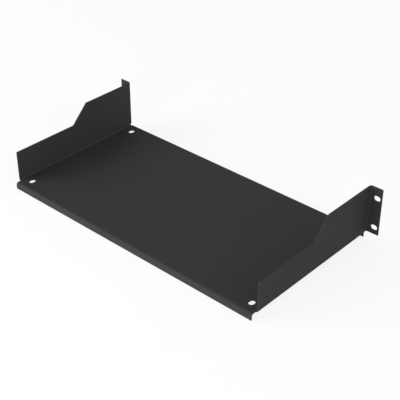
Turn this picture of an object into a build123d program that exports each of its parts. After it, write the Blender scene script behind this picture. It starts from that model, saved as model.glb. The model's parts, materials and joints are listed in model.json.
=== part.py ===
from build123d import *
import os


# A rack shelf for two rack units, folded from one blank of sheet steel and left as one piece. A flat
# tray has a lip turned down along its front and its rear, and a wall turned up along each side. Each
# wall steps down at a slope behind its front half, and from its front end an ear is turned out, with
# two slots for the rack's screws. The same punch makes a slot near each corner of the tray.
#
# Millimetres. The origin is the centre of the four ear slots, on the rear faces of the ears, which
# meet the rack's rails. +X is to the right of someone in front of the rack, +Y runs back into the
# rack and +Z is up.

# Sheet and folds
sheet = 1.5                  # thickness of the steel
bend_radius = 2.5            # inside every fold
edge_past_fold = 0.5         # lips' ends and ears' lower edges, past the fold lines beside them

# Slots
slot_length = 9.7
slot_width = 7.5
unit_height = 44.45          # one rack unit, from the lower slots of the ears to the upper

# Tray and lips
body_width = 442.9           # over the outer faces of the two walls
depth = 234.6                # front faces of the ears to the outer face of the rear lip
lip_height = 9.8             # lower edges of the lips to the tray's top face
tray_slot_side_inset = 17.4  # outer face of a wall to the centres of the tray's slots beside it
tray_slot_end_inset = 18.0   # outer face of a lip to the centres of the tray's slots beside it

# Ears
slot_reach = 11.1            # outer face of a wall to its ear's slots, to set them 465.1 mm apart
edge_past_slots = 7.25       # centres of the slots to the ear's outer edge
tray_to_slots = 12.2         # tray's top face up to the centres of the lower slots
top_above_slots = 15.95      # centres of the upper slots up to the top of the ears and walls

# Walls
front_wall_length = 92.4     # front faces of the ears to the slope, which falls at 45 degrees
rear_wall_height = 45.2      # tray's top face to the top of the walls behind the slope
rear_relief = 4.4            # fold line of the rear lip to the rear ends of the walls

# Places worked out from the sizes
fold = sheet + bend_radius
slot_rise = unit_height / 2
tray_top = -slot_rise - tray_to_slots
tray_bottom = tray_top - sheet
lip_foot = tray_top - lip_height
wall_top = slot_rise + top_above_slots
rear_wall_top = tray_top + rear_wall_height
wall_fold_line = tray_bottom + fold
ear_bottom = wall_fold_line - edge_past_fold
front = -sheet
rear = front + depth
walls_front = front + fold
walls_rear = rear - fold - rear_relief
half_body = body_width / 2
half_tray = half_body - fold
slot_x = half_body + slot_reach


def folded(*corners):
    """Section of a folded strip, with its outer face along the corners and the sheet to the right."""
    outer_face = FilletPolyline(*corners, radius=fold)
    return make_face(offset(outer_face, amount=sheet, side=Side.RIGHT).edges())


def both_sides(right):
    """The right-hand shape and its mirror image on the left."""
    return [right, mirror(right, about=Plane.YZ)]


def tray_with_lips():
    """The flat tray and both lips, whose ends run a little past the fold lines of the walls."""
    section = folded((front, lip_foot), (front, tray_top), (rear, tray_top), (rear, lip_foot))
    strip = extrude(Plane.YZ * section, half_tray + edge_past_fold, both=True)
    stretch = walls_rear - walls_front
    beside_fold = Pos(half_tray, walls_front, tray_top) * Box(
        2 * edge_past_fold, stretch, 4 * sheet, align=(Align.MIN, Align.MIN, Align.CENTER)
    )
    return strip - both_sides(beside_fold)


def tray_with_walls():
    """The tray's channel with a wall up each side, cut to the outline that steps down at a slope."""
    section = folded(
        (half_body, wall_top),
        (half_body, tray_bottom),
        (-half_body, tray_bottom),
        (-half_body, wall_top),
    )
    channel = Pos(0, walls_rear, 0) * extrude(Plane.XZ * section, walls_rear - walls_front)
    slope_head = front + front_wall_length
    slope_foot = slope_head + wall_top - rear_wall_top
    outline = Polygon(
        (walls_front, lip_foot),
        (walls_rear, lip_foot),
        (walls_rear, rear_wall_top),
        (slope_foot, rear_wall_top),
        (slope_head, wall_top),
        (walls_front, wall_top),
        align=None,
    )
    return channel & extrude(Plane.YZ * outline, half_body, both=True)


def right_ear():
    """The right ear and its fold, with the front of the wall from which it is turned out."""
    wall_inner_face = half_body - sheet
    strip_rear = walls_front + fold
    section = folded(
        (slot_x + edge_past_slots, front), (wall_inner_face, front), (wall_inner_face, strip_rear)
    )
    strip = Pos(0, 0, ear_bottom) * extrude(section, wall_top - ear_bottom)
    below_fold_line = Pos(half_body, walls_front, wall_fold_line) * Box(
        4 * sheet, 2 * fold, 2 * edge_past_fold, align=(Align.CENTER, Align.MIN, Align.MAX)
    )
    return strip - below_fold_line


def punches(plane, across, along, turn=0):
    """Slot cutters through the sheet in a plane, at each pairing of the places across and along."""
    slot = SlotOverall(slot_length, slot_width, rotation=turn)
    return [extrude(plane * Pos(x, y) * slot, 2 * sheet, both=True) for x in across for y in along]


tray_slot_x = half_body - tray_slot_side_inset
tray_slot_y = (front + tray_slot_end_inset, rear - tray_slot_end_inset)
shelf = tray_with_lips() + tray_with_walls() + both_sides(right_ear())
shelf -= punches(Plane.XZ, (-slot_x, slot_x), (-slot_rise, slot_rise))
shelf -= punches(Plane.XY.offset(tray_top), (-tray_slot_x, tray_slot_x), tray_slot_y, turn=90)

os.makedirs("parts", exist_ok=True)
export_step(shelf, "parts/rack_shelf.step")
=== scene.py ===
"""A powder-coated rack shelf, folded facet by facet from its flat blank, and a plain white studio.

Metres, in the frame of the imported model: +X to the right of someone in front of the rack, +Y back
into the rack and +Z up, with the origin at the centre of the four ear slots.
"""

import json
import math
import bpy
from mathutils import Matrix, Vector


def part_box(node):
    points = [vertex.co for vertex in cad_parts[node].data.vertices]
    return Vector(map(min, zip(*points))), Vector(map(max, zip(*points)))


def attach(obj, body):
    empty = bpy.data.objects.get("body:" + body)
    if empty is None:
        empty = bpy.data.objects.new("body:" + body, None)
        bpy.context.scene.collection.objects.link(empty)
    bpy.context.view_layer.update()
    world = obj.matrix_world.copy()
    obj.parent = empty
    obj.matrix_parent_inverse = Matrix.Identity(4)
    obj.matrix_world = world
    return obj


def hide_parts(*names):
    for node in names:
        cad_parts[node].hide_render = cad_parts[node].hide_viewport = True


bl_info = {
    "name": "Powder-coated rack shelf",
    "version": (1, 0, 0),
    "blender": (4, 5, 0),
    "location": "3D View > Sidebar > Rack Shelf",
    "description": "Folds a rack shelf from a flat blank, powder-coats it and sets up its studio",
    "category": "Object",
}

from typing import NamedTuple

import bmesh
import bpy
from bpy.props import FloatProperty, FloatVectorProperty, IntProperty, PointerProperty
from mathutils import Matrix, Quaternion, Vector

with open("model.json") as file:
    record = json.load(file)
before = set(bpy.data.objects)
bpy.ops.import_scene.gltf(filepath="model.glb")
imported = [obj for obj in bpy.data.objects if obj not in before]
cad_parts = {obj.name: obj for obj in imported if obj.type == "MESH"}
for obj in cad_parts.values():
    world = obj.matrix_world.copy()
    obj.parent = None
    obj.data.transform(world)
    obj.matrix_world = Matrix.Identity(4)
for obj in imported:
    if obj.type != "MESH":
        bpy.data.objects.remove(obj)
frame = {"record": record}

SHELF_NODE = "rack_shelf"
MERGE_DISTANCE = 1e-6
QUARTER_TURN = math.pi / 2
CUT_EDGE_ANGLE = math.radians(30)  # less than any cut edge or corner turns, and more than a facet does
FLAT_FACE_WEIGHT = 100  # the strongest pull of large faces on the normals that they share

# Directions in the frame
RIGHT = Vector((1, 0, 0))
REARWARD = Vector((0, 1, 0))
UP = Vector((0, 0, 1))


class ShelfSizes(bpy.types.PropertyGroup):
    """Sizes of the folded sheet that the frame's box and mounts don't give."""

    sheet: FloatProperty(
        name="Sheet", description="Thickness of the steel", default=0.0015, unit="LENGTH"
    )
    bend_radius: FloatProperty(
        name="Bend radius", description="Inside radius of every fold", default=0.0025, unit="LENGTH"
    )
    body_width: FloatProperty(
        name="Body width", description="Over the outer faces of the walls", default=0.4429, unit="LENGTH"
    )
    lip_height: FloatProperty(
        name="Lip height",
        description="Lower edges of the lips to the tray's top face",
        default=0.0098,
        unit="LENGTH",
    )
    front_wall_length: FloatProperty(
        name="Front wall length",
        description="Front faces of the ears to the head of the slope, which falls at 45 degrees",
        default=0.0924,
        unit="LENGTH",
    )
    rear_wall_height: FloatProperty(
        name="Rear wall height",
        description="Tray's top face to the top of the walls behind the slope",
        default=0.0452,
        unit="LENGTH",
    )
    rear_relief: FloatProperty(
        name="Rear relief",
        description="Fold line of the rear lip to the rear ends of the walls",
        default=0.0044,
        unit="LENGTH",
    )
    edge_radius: FloatProperty(
        name="Edge radius",
        description="Rounding that the coat gives every cut edge",
        default=0.00022,
        unit="LENGTH",
    )
    slot_collar: FloatProperty(
        name="Slot collar",
        description="Least width of the faces that run out from a slot's edge",
        default=0.002,
        unit="LENGTH",
    )
    edge_facets: IntProperty(name="Edge facets", description="Facets round each cut edge", default=3)
    fold_facets: IntProperty(name="Fold facets", description="Facets round each fold", default=10)
    slot_facets: IntProperty(name="Slot facets", description="Facets round a slot's two ends", default=32)


class CoatLook(bpy.types.PropertyGroup):
    """Colour and texture of the satin powder coat."""

    colour: FloatVectorProperty(
        name="Colour", description="Charcoal pigment", subtype="COLOR", default=(0.0315, 0.028, 0.0318)
    )
    roughness: FloatProperty(
        name="Roughness", description="Of the cured coat", default=0.7, min=0, max=1, subtype="FACTOR"
    )
    reflectance: FloatProperty(
        name="Reflectance",
        description="Specular level, where 0.5 is a bare resin's",
        default=0.09,
        min=0,
        max=1,
        subtype="FACTOR",
    )
    roughness_spread: FloatProperty(
        name="Roughness spread", description="Between the glossiest and the dullest clouds", default=0.06
    )
    cloud_size: FloatProperty(
        name="Cloud size",
        description="Width of the faint clouds in the coat",
        default=0.06,
        unit="LENGTH",
    )
    cloud_strength: FloatProperty(
        name="Cloud strength", description="How far the clouds lighten or darken the coat", default=0.04
    )
    peel_size: FloatProperty(
        name="Peel size", description="Width of the coat's shallow waves", default=0.0025, unit="LENGTH"
    )
    peel_depth: FloatProperty(
        name="Peel depth",
        description="Full range of the waves' height, of which they mostly use less than half",
        default=0.0001,
        unit="LENGTH",
    )
    grain_size: FloatProperty(
        name="Grain size", description="Width of the powder's fine grain", default=0.0007, unit="LENGTH"
    )
    grain_depth: FloatProperty(
        name="Grain depth",
        description="Full range of the grain's height, of which it mostly uses less than half",
        default=0.00022,
        unit="LENGTH",
    )


class StudioSizes(bpy.types.PropertyGroup):
    """The floor, the light and the camera."""

    floor_colour: FloatVectorProperty(
        name="Floor", description="Pale floor", subtype="COLOR", default=(0.9, 0.9, 0.9)
    )
    floor_width: FloatProperty(
        name="Floor width", description="Side of the square floor", default=30, unit="LENGTH"
    )
    floor_glow: FloatProperty(
        name="Floor glow",
        description="Share of plain white in what is seen of the floor around the shelf",
        default=0.85,
        min=0,
        max=1,
        subtype="FACTOR",
    )
    shadow_reach: FloatProperty(
        name="Shadow reach",
        description="How far from the shelf the floor starts to turn plain white",
        default=0.6,
        unit="LENGTH",
    )
    white_reach: FloatProperty(
        name="White reach",
        description="How far from the shelf the floor is plain white",
        default=1.8,
        unit="LENGTH",
    )
    sky_strength: FloatProperty(
        name="Sky strength", description="Even light from all round", default=0.57
    )
    camera_azimuth: FloatProperty(
        name="Camera azimuth",
        description="Turned from looking along +Y, towards looking along -X",
        subtype="ANGLE",
        default=math.radians(222.16),
    )
    camera_elevation: FloatProperty(
        name="Camera elevation",
        description="Above the horizon",
        subtype="ANGLE",
        default=math.radians(32.99),
    )
    camera_roll: FloatProperty(
        name="Camera roll",
        description="About the line of sight",
        subtype="ANGLE",
        default=math.radians(0.058),
    )
    camera_distance: FloatProperty(
        name="Camera distance",
        description="To the point that it is aimed at",
        default=1.3198,
        unit="LENGTH",
    )
    camera_aim: FloatVectorProperty(
        name="Camera aim",
        description="Point at the centre of the picture",
        subtype="TRANSLATION",
        default=(-0.02278, 0.10763, -0.01923),
    )
    camera_lens: FloatProperty(
        name="Camera lens", description="Focal length, on a 36 mm sensor", default=87.23, unit="CAMERA"
    )


class Lamp(NamedTuple):
    """A soft square lamp, aimed at the shelf, in degrees, metres and watts."""

    name: str
    azimuth: float
    elevation: float
    distance: float
    width: float
    power: float


LAMPS = (
    Lamp("right_rear_softbox", azimuth=135, elevation=18, distance=2.5, width=1.5, power=62),
    Lamp("low_rear_softbox", azimuth=190, elevation=10, distance=1.4, width=0.5, power=10.5),
    Lamp("left_softbox", azimuth=270, elevation=18, distance=2.5, width=1.5, power=20),
    Lamp("front_softbox", azimuth=345, elevation=18, distance=2.5, width=1.5, power=17),
)


def mount(name):
    """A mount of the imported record, by its name."""
    return next(entry for entry in frame["record"]["mounts"] if entry["name"] == name)


def metres(name, dimension):
    """A dimension of a mount, which the record gives in millimetres."""
    return mount(name)["dims"][dimension] / 1000


class Plan:
    """Lines of the flat blank's right half, in the middle plane of the sheet.

    x is across the shelf and y along it. A fold takes up as much of the blank as the chords of its
    facets add up to.
    """

    def __init__(self, sizes):
        low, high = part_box(SHELF_NODE)
        fold_radius = sizes.bend_radius + sizes.sheet
        tray_top = low.z + sizes.lip_height
        wall_base_height = tray_top - sizes.sheet + fold_radius
        lip_flat = sizes.lip_height - fold_radius
        ear_base_reach = sizes.body_width / 2 + sizes.bend_radius
        self.facet_turn = QUARTER_TURN / sizes.fold_facets
        self.facet = 2 * (fold_radius - sizes.sheet / 2) * math.sin(self.facet_turn / 2)
        self.folds = [step * self.facet for step in range(sizes.fold_facets + 1)]
        self.level = tray_top - sizes.sheet / 2

        # Across
        self.wall_fold = sizes.body_width / 2 - fold_radius
        self.wall_base = self.wall_fold + self.folds[-1]
        self.wall_edge = self.wall_base + high.z - wall_base_height
        self.rear_wall_edge = self.wall_base + tray_top + sizes.rear_wall_height - wall_base_height
        self.lip_end = self.wall_fold + self.facet
        self.ear_foot = self.wall_base - self.facet

        # Along
        self.front_fold = low.y + fold_radius
        self.rear_fold = high.y - fold_radius
        self.lip_edges = (
            self.front_fold - self.folds[-1] - lip_flat,
            self.rear_fold + self.folds[-1] + lip_flat,
        )
        self.ear_base = self.front_fold - self.folds[-1]
        self.ear_edge = self.ear_base - (high.x - ear_base_reach)
        self.slope_head = low.y + sizes.front_wall_length
        self.slope_foot = self.slope_head + self.wall_edge - self.rear_wall_edge
        self.walls_rear = self.rear_fold - sizes.rear_relief

        # Slots
        ear_slot_x = metres("rack_slots", "spacing_x_mm") / 2
        ear_slot_rise = metres("rack_slots", "spacing_y_mm") / 2
        tray_slots = Vector(mount("right_tray_slots")["pos_m"])
        tray_slot_reach = metres("right_tray_slots", "spacing_y_mm") / 2
        self.slots = []
        along_ear = self.ear_base - ear_slot_x + ear_base_reach
        for side in (-1, 1):
            across_ear = self.wall_base + side * ear_slot_rise - wall_base_height
            along_tray = tray_slots.y + side * tray_slot_reach
            self.slots.append(Vector((across_ear, along_ear, self.level)))
            self.slots.append(Vector((tray_slots.x, along_tray, self.level)))
        self.slot_width = 2 * metres("rack_slots", "hole_r_mm")
        self.slot_length = metres("rack_slots", "slot_length_mm")
        self.slot_cell = self.slot_length / 2 + sizes.slot_collar

    def cuts(self):
        """Points and directions of the planes that cut the blank at its folds, steps and slots."""
        across = {self.rear_wall_edge, *(self.wall_fold + step for step in self.folds)}
        along = {self.slope_head, self.slope_foot, self.walls_rear}
        along |= {self.front_fold - step for step in self.folds}
        along |= {self.rear_fold + step for step in self.folds}
        for side in (-self.slot_cell, self.slot_cell):
            across |= {slot.x + side for slot in self.slots}
            along |= {slot.y + side for slot in self.slots}
        cuts_across = [(RIGHT * place, RIGHT) for place in sorted(across)]
        cuts_along = [(REARWARD * place, REARWARD) for place in sorted(along)]
        return cuts_across + cuts_along

    def is_waste(self, place):
        """Whether a place in the blank is punched away, beyond the outline of the shelf."""
        if place.x < self.lip_end:
            return place.y < self.lip_edges[0]
        if place.y < self.front_fold:
            return place.x < self.ear_foot
        past_slope = place.x + place.y > self.wall_edge + self.slope_head
        return place.y > self.walls_rear or (place.x > self.rear_wall_edge and past_slope)


def cut(mesh, faces, place, direction):
    """Cuts some of the faces along a plane."""
    edges = dict.fromkeys(edge for face in faces for edge in face.edges)
    corners = dict.fromkeys(corner for face in faces for corner in face.verts)
    bmesh.ops.bisect_plane(
        mesh,
        geom=[*corners, *edges, *faces],
        dist=MERGE_DISTANCE,
        plane_co=place,
        plane_no=direction,
    )


def cut_blank(plan):
    """The right half of the blank, cut to its outline and still flat."""
    mesh = bmesh.new()
    # A square of one metre, scaled and moved to the blank's extent.
    bmesh.ops.create_grid(mesh, x_segments=1, y_segments=1, size=0.5)
    length = plan.lip_edges[1] - plan.ear_edge
    bmesh.ops.scale(mesh, vec=(plan.wall_edge, length, 1), verts=mesh.verts)
    centre = (plan.wall_edge / 2, plan.ear_edge + length / 2, plan.level)
    bmesh.ops.translate(mesh, vec=centre, verts=mesh.verts)
    for place, direction in plan.cuts():
        cut(mesh, mesh.faces[:], place, direction)
    lip = [face for face in mesh.faces if face.calc_center_median().x < plan.lip_end]
    cut(mesh, lip, REARWARD * plan.lip_edges[0], REARWARD)
    wall_top = [face for face in mesh.faces if face.calc_center_median().x > plan.rear_wall_edge]
    cut(mesh, wall_top, Vector((plan.wall_edge, plan.slope_head, 0)), RIGHT + REARWARD)
    waste = [face for face in mesh.faces if plan.is_waste(face.calc_center_median())]
    bmesh.ops.delete(mesh, geom=waste, context="FACES")
    return mesh


def punch_slot(mesh, plan, centre, facets):
    """Opens a slot in the cell round its centre. Every slot runs along the blank."""
    cell = min(mesh.faces, key=lambda face: (face.calc_center_median() - centre).length)
    rim = cell.edges[:]
    bmesh.ops.delete(mesh, geom=[cell], context="FACES_ONLY")
    split = bmesh.ops.subdivide_edges(mesh, edges=rim, cuts=facets // len(rim) - 1)["geom_split"]
    rim = [item for item in split if isinstance(item, bmesh.types.BMEdge)]
    # The slot's facets touch its true arcs from outside, so that its width and length are true.
    radius = plan.slot_width / 2 / math.cos(math.pi / facets)
    ring = bmesh.ops.create_circle(mesh, segments=facets, radius=radius)["verts"]
    bmesh.ops.rotate(mesh, verts=ring, matrix=Matrix.Rotation(math.pi / facets, 3, UP))
    for side in (-1, 1):
        end = [corner for corner in ring if side * corner.co.y > 0]
        shift = side * (plan.slot_length - plan.slot_width) / 2
        bmesh.ops.translate(mesh, verts=end, vec=REARWARD * shift)
    # The ring stands above the blank while it is joined: loops in one plane may be joined with a twist.
    lift = UP * plan.slot_cell
    bmesh.ops.translate(mesh, verts=ring, vec=centre + lift)
    slot_edge = dict.fromkeys(edge for corner in ring for edge in corner.link_edges)
    bmesh.ops.bridge_loops(mesh, edges=[*slot_edge, *rim])
    bmesh.ops.translate(mesh, verts=ring, vec=-lift)


def fold(mesh, plan, flat, line, outward, axis, flange, carried=()):
    """Folds a flange by a quarter turn about an axis, one facet at a time from its far end inward.

    The fold starts at the line and outward points away from it. flat holds where each corner was in
    the blank. Carried corners turn as one with the flange.
    """
    for step in reversed(plan.folds):
        crease = line + outward * step
        at_an_end = step in (plan.folds[0], plan.folds[-1])
        turn = Matrix.Rotation(plan.facet_turn / (2 if at_an_end else 1), 3, axis)
        beyond = [corner for corner in flange if (flat[corner] - crease).dot(outward) > 0]
        bmesh.ops.rotate(mesh, verts=[*beyond, *carried], cent=crease, matrix=turn)


def fold_half(mesh, plan):
    """Folds the ear, both lips and then the wall, which takes the ear with it."""
    flat = {corner: corner.co.copy() for corner in mesh.verts}
    ears, lips, wall = [], [], []
    for corner, place in flat.items():
        if place.y < plan.front_fold - MERGE_DISTANCE:
            (lips if place.x < plan.lip_end + MERGE_DISTANCE else ears).append(corner)
        elif place.y > plan.walls_rear + MERGE_DISTANCE:
            lips.append(corner)
        else:
            wall.append(corner)
    front = Vector((0, plan.front_fold, plan.level))
    rear = Vector((0, plan.rear_fold, plan.level))
    side = Vector((plan.wall_fold, 0, plan.level))
    fold(mesh, plan, flat, front, -REARWARD, RIGHT, ears + lips)
    fold(mesh, plan, flat, rear, REARWARD, -RIGHT, lips)
    fold(mesh, plan, flat, side, RIGHT, -REARWARD, wall, carried=ears)


def folded_sheet(sizes):
    """The whole shelf as a sheet without thickness, in the middle of the steel."""
    plan = Plan(sizes)
    mesh = cut_blank(plan)
    for slot in plan.slots:
        punch_slot(mesh, plan, slot, sizes.slot_facets)
    fold_half(mesh, plan)
    half = [*mesh.verts, *mesh.edges, *mesh.faces]
    bmesh.ops.mirror(mesh, geom=half, merge_dist=MERGE_DISTANCE, axis="X")
    bmesh.ops.recalc_face_normals(mesh, faces=mesh.faces)
    return mesh


def new_piece(name, mesh, material):
    """Puts a finished bmesh into the scene as a smooth object of one material."""
    data = bpy.data.meshes.new(name)
    mesh.to_mesh(data)
    mesh.free()
    data.shade_smooth()
    data.materials.append(material)
    piece = bpy.data.objects.new(name, data)
    bpy.context.collection.objects.link(piece)
    return piece


def thicken(piece, sizes):
    """Gives the sheet its thickness, equally to both sides, and rounds its cut edges."""
    steel = piece.modifiers.new("Steel", "SOLIDIFY")
    steel.thickness = sizes.sheet
    steel.offset = 0
    steel.use_even_offset = True
    edges = piece.modifiers.new("Coated edges", "BEVEL")
    edges.width = sizes.edge_radius
    edges.segments = sizes.edge_facets
    edges.limit_method = "ANGLE"
    edges.angle_limit = CUT_EDGE_ANGLE
    shading = piece.modifiers.new("Flat faces", "WEIGHTED_NORMAL")
    shading.weight = FLAT_FACE_WEIGHT


class Shade:
    """A socket in a node tree. Arithmetic on it adds Math nodes, and add() adds any other node."""

    def __init__(self, tree, socket=None):
        self.tree = tree
        self.socket = socket

    def add(self, kind, settings=None, sockets=None, output=0):
        """Adds a node, makes its settings, feeds its sockets, and gives one of its outputs."""
        node = self.tree.nodes.new("ShaderNode" + kind)
        for name, value in (settings or {}).items():
            setattr(node, name, value)
        for name, value in (sockets or {}).items():
            if isinstance(value, Shade):
                self.tree.links.new(value.socket, node.inputs[name])
            else:
                node.inputs[name].default_value = value
        return Shade(self.tree, node.outputs[output] if node.outputs else None)

    def maths(self, operation, first, second):
        """A Math node on two values or sockets."""
        return self.add("Math", {"operation": operation}, {0: first, 1: second})

    def __add__(self, other):
        return self.maths("ADD", self, other)

    def __radd__(self, other):
        return self.maths("ADD", other, self)

    def __sub__(self, other):
        return self.maths("SUBTRACT", self, other)

    def __rsub__(self, other):
        return self.maths("SUBTRACT", other, self)

    def __mul__(self, other):
        return self.maths("MULTIPLY", self, other)

    def __rmul__(self, other):
        return self.maths("MULTIPLY", other, self)


def empty_tree(owner):
    """A node tree of a material or world, cleared of the nodes that it came with."""
    owner.use_nodes = True
    owner.node_tree.nodes.clear()
    return Shade(owner.node_tree)


def noise(tree, place, size, detail=0):
    """A smooth random pattern from 0 to 1, whose features are about as wide as a size."""
    sockets = {"Vector": place, "Scale": 1 / size, "Detail": detail}
    return tree.add("TexNoise", sockets=sockets, output="Fac")


def seen_directly(tree):
    """1 for what the camera sees, itself or in a reflection or through glass, and 0 otherwise."""
    camera = tree.add("LightPath", output="Is Camera Ray")
    glossy = tree.add("LightPath", output="Is Glossy Ray")
    transmission = tree.add("LightPath", output="Is Transmission Ray")
    return tree.maths("MAXIMUM", camera, tree.maths("MAXIMUM", glossy, transmission))


def powder_coat(look):
    """Satin charcoal powder coat: faint clouds of colour, shallow waves and a fine grain."""
    material = bpy.data.materials.new("satin_powder_coat")
    tree = empty_tree(material)
    place = tree.add("TexCoord", output="Object")
    clouds = noise(tree, place, look.cloud_size, detail=3)
    peel = noise(tree, place, look.peel_size, detail=1)
    grain = noise(tree, place, look.grain_size)
    darker = [channel * (1 - look.cloud_strength) for channel in look.colour]
    lighter = [channel * (1 + look.cloud_strength) for channel in look.colour]
    colour = tree.add(
        "Mix",
        {"data_type": "RGBA"},
        {"Factor": clouds, "A": (*darker, 1), "B": (*lighter, 1)},
        output="Result",
    )
    height = peel * look.peel_depth + grain * look.grain_depth
    relief = tree.add("Bump", sockets={"Strength": 1, "Distance": 1, "Height": height})
    coat = tree.add(
        "BsdfPrincipled",
        sockets={
            "Base Color": colour,
            "Roughness": look.roughness + (clouds - 0.5) * look.roughness_spread,
            "Specular IOR Level": look.reflectance,
            "Normal": relief,
        },
    )
    tree.add("OutputMaterial", sockets={"Surface": coat})
    return material


def pale_floor(studio):
    """A pale matt floor that takes the shelf's shadow, and looks plain white away from it."""
    material = bpy.data.materials.new("pale_floor")
    tree = empty_tree(material)
    matt = tree.add("BsdfDiffuse", sockets={"Color": (*studio.floor_colour, 1)})
    white = tree.add("Emission", sockets={"Strength": 1})
    place = tree.add("TexCoord", output="Object")
    distance = tree.add("VectorMath", {"operation": "LENGTH"}, {"Vector": place}, output="Value")
    glow = tree.add(
        "MapRange",
        {"interpolation_type": "SMOOTHSTEP"},
        {
            "Value": distance,
            "From Min": studio.shadow_reach,
            "From Max": studio.white_reach,
            "To Min": studio.floor_glow,
            "To Max": 1,
        },
    )
    share = seen_directly(tree) * glow
    surface = tree.add("MixShader", sockets={"Fac": share, 1: matt, 2: white})
    tree.add("OutputMaterial", sockets={"Surface": surface})
    return material


def white_sky(studio):
    """An even sky that looks white wherever it is seen."""
    world = bpy.data.worlds.new("white_sky")
    tree = empty_tree(world)
    light = tree.add("Background", sockets={"Strength": studio.sky_strength})
    white = tree.add("Background", sockets={"Strength": 1})
    surface = tree.add("MixShader", sockets={"Fac": seen_directly(tree), 1: light, 2: white})
    tree.add("OutputWorld", sockets={"Surface": surface})
    bpy.context.scene.world = world


def towards(azimuth, elevation):
    """Direction from the shelf to a place from which one looks at it."""
    level = math.cos(elevation)
    return Vector((math.sin(azimuth) * level, -math.cos(azimuth) * level, math.sin(elevation)))


def stand_at(holder, direction, distance, aim):
    """Stands a lamp or camera at a distance from the point that it is aimed at."""
    holder.location = aim + direction * distance
    holder.rotation_mode = "QUATERNION"
    holder.rotation_quaternion = (-direction).to_track_quat("-Z", "Y")
    bpy.context.collection.objects.link(holder)


def add_lamp(lamp, aim):
    """A square area lamp, aimed at the shelf."""
    light = bpy.data.lights.new(lamp.name, "AREA")
    light.size = lamp.width
    light.energy = lamp.power
    direction = towards(math.radians(lamp.azimuth), math.radians(lamp.elevation))
    stand_at(bpy.data.objects.new(lamp.name, light), direction, lamp.distance, aim)


def add_camera(studio, aim):
    """The camera, at the photograph's angle."""
    data = bpy.data.cameras.new("camera")
    data.lens = studio.camera_lens
    camera = bpy.data.objects.new("camera", data)
    direction = towards(studio.camera_azimuth, studio.camera_elevation)
    stand_at(camera, direction, studio.camera_distance, aim)
    camera.rotation_quaternion @= Quaternion(UP, studio.camera_roll)
    bpy.context.scene.camera = camera


def add_floor(studio):
    """A square floor under the shelf's lips."""
    low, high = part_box(SHELF_NODE)
    mesh = bmesh.new()
    bmesh.ops.create_grid(mesh, x_segments=1, y_segments=1, size=studio.floor_width / 2)
    bmesh.ops.translate(mesh, verts=mesh.verts, vec=UP * low.z)
    floor = new_piece("floor", mesh, pale_floor(studio))


class RACK_SHELF_OT_coat(bpy.types.Operator):
    """Fold the shelf from its blank, give it thickness and powder-coat it"""

    bl_idname = "rack_shelf.coat"
    bl_label = "Fold and Coat the Shelf"

    def execute(self, context):
        scene = context.scene
        shelf = new_piece("coated_shelf", folded_sheet(scene.shelf_sizes), powder_coat(scene.coat_look))
        thicken(shelf, scene.shelf_sizes)
        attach(shelf, "root")
        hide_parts(SHELF_NODE)
        return {"FINISHED"}


class RACK_SHELF_OT_stage(bpy.types.Operator):
    """Lay the floor, hang the lamps and stand the camera at the photograph's angle"""

    bl_idname = "rack_shelf.stage"
    bl_label = "Set Up the Studio"

    def execute(self, context):
        studio = context.scene.studio_sizes
        aim = Vector(studio.camera_aim)
        add_floor(studio)
        white_sky(studio)
        for lamp in LAMPS:
            add_lamp(lamp, aim)
        add_camera(studio, aim)
        context.scene.view_settings.view_transform = "Standard"
        return {"FINISHED"}


class VIEW3D_PT_rack_shelf(bpy.types.Panel):
    """Steps that make the shelf, with the sizes and colours that they use"""

    bl_label = "Rack Shelf"
    bl_space_type = "VIEW_3D"
    bl_region_type = "UI"
    bl_category = "Rack Shelf"

    def draw(self, context):
        steps = (
            ("rack_shelf.coat", (context.scene.shelf_sizes, context.scene.coat_look)),
            ("rack_shelf.stage", (context.scene.studio_sizes,)),
        )
        for operator, groups in steps:
            box = self.layout.box()
            box.operator(operator)
            for group in groups:
                for name in group.bl_rna.properties.keys():
                    if name not in ("rna_type", "name"):
                        box.prop(group, name)


GROUPS = {"shelf_sizes": ShelfSizes, "coat_look": CoatLook, "studio_sizes": StudioSizes}
CLASSES = (*GROUPS.values(), RACK_SHELF_OT_coat, RACK_SHELF_OT_stage, VIEW3D_PT_rack_shelf)


def register():
    for item in CLASSES:
        bpy.utils.register_class(item)
    for name, group in GROUPS.items():
        setattr(bpy.types.Scene, name, PointerProperty(type=group))


def unregister():
    for name in GROUPS:
        delattr(bpy.types.Scene, name)
    for item in reversed(CLASSES):
        bpy.utils.unregister_class(item)


def main():
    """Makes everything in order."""
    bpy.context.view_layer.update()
    register()
    bpy.ops.rack_shelf.coat()
    bpy.ops.rack_shelf.stage()


if __name__ == "__main__":
    main()
